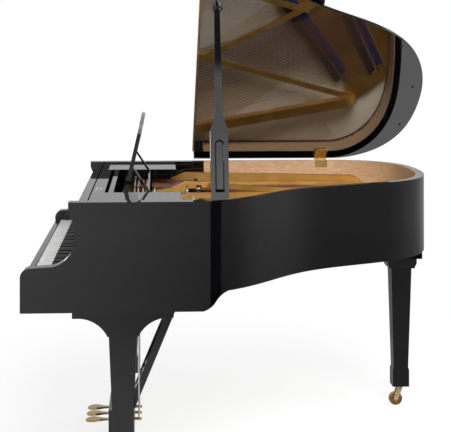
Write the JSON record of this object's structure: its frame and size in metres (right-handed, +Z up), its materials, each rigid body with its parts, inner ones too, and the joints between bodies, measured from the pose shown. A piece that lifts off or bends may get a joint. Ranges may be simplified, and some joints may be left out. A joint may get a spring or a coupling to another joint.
{
  "type": "grand piano",
  "caption": "Grand piano in polished black with a propped lid, folded front flap, music desk, fallboard, strung iron plate, moving keys and hammers, pedal lyre and legs on casters.",
  "frame": {"origin": "on the floor under the middle of the box around the piano with its lid raised", "axes": "+X from the keyboard to the tail, +Y from the treble side to the bass side, +Z up"},
  "size_m": [1.5381, 1.4992, 1.9277],
  "materials": {
    "black_lacquer": "polished black lacquer",
    "mahogany_veneer": "satin veneer",
    "spruce": "satin varnish",
    "maple": "plain",
    "beech_frame": "plain",
    "gold_iron": "gold lacquer",
    "string_steel": "bright wire",
    "copper_winding": "wound copper",
    "pin_steel": "plain",
    "brass": "polished",
    "white_key": "gloss",
    "black_key": "satin",
    "blue_felt": "felt",
    "hammer_felt": "felt on wood",
    "damper_black": "lacquer over felt",
    "bumper_rubber": "matte"
  },
  "bodies": {
    "case": {"case_rim": "black_lacquer", "inner_veneer": "mahogany_veneer", "inner_rim": "black_lacquer", "back_frame": "beech_frame", "keybed": "black_lacquer", "key_slip": "black_lacquer", "key_blocks": "black_lacquer", "soundboard": "spruce", "soundboard_ribs": "spruce", "long_bridge": "maple", "bass_bridge": "maple", "iron_plate": "gold_iron", "pin_block": "maple", "tuning_pins": "pin_steel", "plain_strings": "string_steel", "bass_strings": "copper_winding", "plate_fixings": "pin_steel", "string_felts": "blue_felt", "front_rails": "black_lacquer", "front_legs": "black_lacquer", "rear_leg": "black_lacquer", "lyre": "black_lacquer", "lyre_braces": "black_lacquer", "lid_hinge_rim_leaves": "brass", "prop_bracket": "black_lacquer"},
    "lid": {"lid": "black_lacquer", "lid_hinge_lid_leaves": "brass", "lid_bumpers": "bumper_rubber", "flap_hinge_lid_leaf": "brass"},
    "flap": {"lid_flap": "black_lacquer", "flap_hinge_flap_leaf": "brass"},
    "prop": {"prop_stick": "black_lacquer"},
    "half_prop": {"half_prop": "black_lacquer"},
    "desk_tray": {"desk_tray": "black_lacquer"},
    "music_desk": {"music_desk": "black_lacquer"},
    "desk_support": {"desk_support": "black_lacquer"},
    "fallboard": {"fallboard": "black_lacquer"},
    "dampers": {"dampers": "damper_black"},
    "key_frame": {"key_frame": "beech_frame", "action_rail": "maple"},
    "white_keys_odd": {"white_keys_odd": "white_key"},
    "white_keys_even": {"white_keys_even": "white_key"},
    "black_keys_odd": {"black_keys_odd": "black_key"},
    "black_keys_even": {"black_keys_even": "black_key"},
    "white_hammers_odd": {"white_hammers_odd": "hammer_felt"},
    "white_hammers_even": {"white_hammers_even": "hammer_felt"},
    "black_hammers_odd": {"black_hammers_odd": "hammer_felt"},
    "black_hammers_even": {"black_hammers_even": "hammer_felt"},
    "sustain_pedal": {"sustain_pedal": "brass"},
    "sustain_rod": {"sustain_rod": "pin_steel"},
    "sostenuto_pedal": {"sostenuto_pedal": "brass"},
    "sostenuto_rod": {"sostenuto_rod": "pin_steel"},
    "soft_pedal": {"soft_pedal": "brass"},
    "soft_rod": {"soft_rod": "pin_steel"},
    "treble_fork": {"treble_caster_fork": "brass"},
    "treble_wheel": {"treble_caster_wheel": "brass"},
    "bass_fork": {"bass_caster_fork": "brass"},
    "bass_wheel": {"bass_caster_wheel": "brass"},
    "tail_fork": {"tail_caster_fork": "brass"},
    "tail_wheel": {"tail_caster_wheel": "brass"}
  },
  "joints": [
    {"name": "lid_hinge", "type": "hinge", "parent": "case", "child": "lid", "pos_m": [0.16895, 0.72588, 0.9865], "axis": [-1, 0, 0], "range_deg": [0, 18]},
    {"name": "prop_fold", "type": "hinge", "parent": "case", "child": "prop", "pos_m": [-0.12105, -0.66162, 0.955], "axis": [-1, 0, 0], "range_deg": [0, 72]},
    {"name": "half_prop_swing", "type": "hinge", "parent": "prop", "child": "half_prop", "pos_m": [-0.12105, -0.64292, 1.01254], "axis": [1, 0, 0], "range_deg": [0, 70]},
    {"name": "flap_fold", "type": "hinge", "parent": "lid", "child": "flap", "pos_m": [-0.16705, 0.15056, 1.45332], "axis": [0, -0.7965, 0.6046], "range_deg": [0, 180]},
    {"name": "desk_slide", "type": "slide", "parent": "case", "child": "desk_tray", "axis": [1, 0, 0], "range_m": [-0.09, 0]},
    {"name": "desk_fold", "type": "hinge", "parent": "desk_tray", "child": "music_desk", "pos_m": [-0.43905, -0.01462, 0.972], "axis": [0, 1, 0], "range_deg": [0, 77]},
    {"name": "desk_support_fold", "type": "hinge", "parent": "music_desk", "child": "desk_support", "pos_m": [-0.40824, -0.01462, 1.05212], "axis": [0, 1, 0], "range_deg": [-134, 0]},
    {"name": "fallboard_hinge", "type": "hinge", "parent": "case", "child": "fallboard", "pos_m": [-0.58805, -0.01462, 0.785], "axis": [0, -1, 0], "range_deg": [0, 88]},
    {"name": "key_shift", "type": "slide", "parent": "case", "child": "key_frame", "axis": [0, -1, 0], "range_m": [0, 0.003]},
    {"name": "white_keys_odd_press", "type": "hinge", "parent": "key_frame", "child": "white_keys_odd", "pos_m": [-0.49805, -0.01462, 0.72], "axis": [0, -1, 0], "range_deg": [0, 2.4], "stiffness_Nm_per_rad": 20, "springref_deg": -8.59},
    {"name": "white_keys_even_press", "type": "hinge", "parent": "key_frame", "child": "white_keys_even", "pos_m": [-0.49805, -0.01462, 0.72], "axis": [0, -1, 0], "range_deg": [0, 2.4], "stiffness_Nm_per_rad": 20, "springref_deg": -8.59},
    {"name": "black_keys_odd_press", "type": "hinge", "parent": "key_frame", "child": "black_keys_odd", "pos_m": [-0.49805, -0.01462, 0.72], "axis": [0, -1, 0], "range_deg": [0, 2.4], "stiffness_Nm_per_rad": 20, "springref_deg": -8.59},
    {"name": "black_keys_even_press", "type": "hinge", "parent": "key_frame", "child": "black_keys_even", "pos_m": [-0.49805, -0.01462, 0.72], "axis": [0, -1, 0], "range_deg": [0, 2.4], "stiffness_Nm_per_rad": 20, "springref_deg": -8.59},
    {"name": "white_hammers_odd_strike", "type": "hinge", "parent": "key_frame", "child": "white_hammers_odd", "pos_m": [-0.32805, -0.01462, 0.822], "axis": [0, -1, 0], "range_deg": [0, 20]},
    {"name": "white_hammers_even_strike", "type": "hinge", "parent": "key_frame", "child": "white_hammers_even", "pos_m": [-0.32805, -0.01462, 0.822], "axis": [0, -1, 0], "range_deg": [0, 20]},
    {"name": "black_hammers_odd_strike", "type": "hinge", "parent": "key_frame", "child": "black_hammers_odd", "pos_m": [-0.32805, -0.01462, 0.822], "axis": [0, -1, 0], "range_deg": [0, 20]},
    {"name": "black_hammers_even_strike", "type": "hinge", "parent": "key_frame", "child": "black_hammers_even", "pos_m": [-0.32805, -0.01462, 0.822], "axis": [0, -1, 0], "range_deg": [0, 20]},
    {"name": "sustain_pedal_press", "type": "hinge", "parent": "case", "child": "sustain_pedal", "pos_m": [-0.46905, -0.09262, 0.09], "axis": [0, -1, 0], "range_deg": [0, 6], "stiffness_Nm_per_rad": 8, "springref_deg": -5.73},
    {"name": "sostenuto_pedal_press", "type": "hinge", "parent": "case", "child": "sostenuto_pedal", "pos_m": [-0.46905, -0.01462, 0.09], "axis": [0, -1, 0], "range_deg": [0, 6], "stiffness_Nm_per_rad": 8, "springref_deg": -5.73},
    {"name": "soft_pedal_press", "type": "hinge", "parent": "case", "child": "soft_pedal", "pos_m": [-0.46905, 0.06338, 0.09], "axis": [0, -1, 0], "range_deg": [0, 6], "stiffness_Nm_per_rad": 8, "springref_deg": -5.73},
    {"name": "sustain_rod_lift", "type": "slide", "parent": "case", "child": "sustain_rod", "axis": [0, 0, 1], "range_m": [0, 0.008]},
    {"name": "sostenuto_rod_lift", "type": "slide", "parent": "case", "child": "sostenuto_rod", "axis": [0, 0, 1], "range_m": [0, 0.008]},
    {"name": "soft_rod_lift", "type": "slide", "parent": "case", "child": "soft_rod", "axis": [0, 0, 1], "range_m": [0, 0.008]},
    {"name": "damper_lift", "type": "slide", "parent": "case", "child": "dampers", "axis": [0, 0, 1], "range_m": [0, 0.005]},
    {"name": "treble_swivel", "type": "hinge", "parent": "case", "child": "treble_fork", "pos_m": [-0.44105, -0.64362, 0.08], "axis": [0, 0, 1], "continuous": true},
    {"name": "treble_roll", "type": "hinge", "parent": "treble_fork", "child": "treble_wheel", "pos_m": [-0.45805, -0.64362, 0.027], "axis": [0, 1, 0], "continuous": true},
    {"name": "bass_swivel", "type": "hinge", "parent": "case", "child": "bass_fork", "pos_m": [-0.44105, 0.61438, 0.08], "axis": [0, 0, 1], "continuous": true},
    {"name": "bass_roll", "type": "hinge", "parent": "bass_fork", "child": "bass_wheel", "pos_m": [-0.45805, 0.61438, 0.027], "axis": [0, 1, 0], "continuous": true},
    {"name": "tail_swivel", "type": "hinge", "parent": "case", "child": "tail_fork", "pos_m": [0.68096, 0.34039, 0.08], "axis": [0, 0, 1], "continuous": true},
    {"name": "tail_roll", "type": "hinge", "parent": "tail_fork", "child": "tail_wheel", "pos_m": [0.66396, 0.34039, 0.027], "axis": [0, 1, 0], "continuous": true}
  ],
  "couplings": [
    {"joint": "prop_fold", "follows": "lid_hinge", "ratio": 4},
    {"joint": "desk_support_fold", "follows": "desk_fold", "ratio": -1.7403},
    {"joint": "white_hammers_odd_strike", "follows": "white_keys_odd_press", "ratio": 8.3333},
    {"joint": "white_hammers_even_strike", "follows": "white_keys_even_press", "ratio": 8.3333},
    {"joint": "black_hammers_odd_strike", "follows": "black_keys_odd_press", "ratio": 8.3333},
    {"joint": "black_hammers_even_strike", "follows": "black_keys_even_press", "ratio": 8.3333},
    {"joint": "sustain_rod_lift", "follows": "sustain_pedal_press", "m_per_rad": 0.074},
    {"joint": "sostenuto_rod_lift", "follows": "sostenuto_pedal_press", "m_per_rad": 0.074},
    {"joint": "soft_rod_lift", "follows": "soft_pedal_press", "m_per_rad": 0.074},
    {"joint": "damper_lift", "follows": "sustain_pedal_press", "m_per_rad": 0.047699},
    {"joint": "key_shift", "follows": "soft_pedal_press", "m_per_rad": 0.028619}
  ]
}
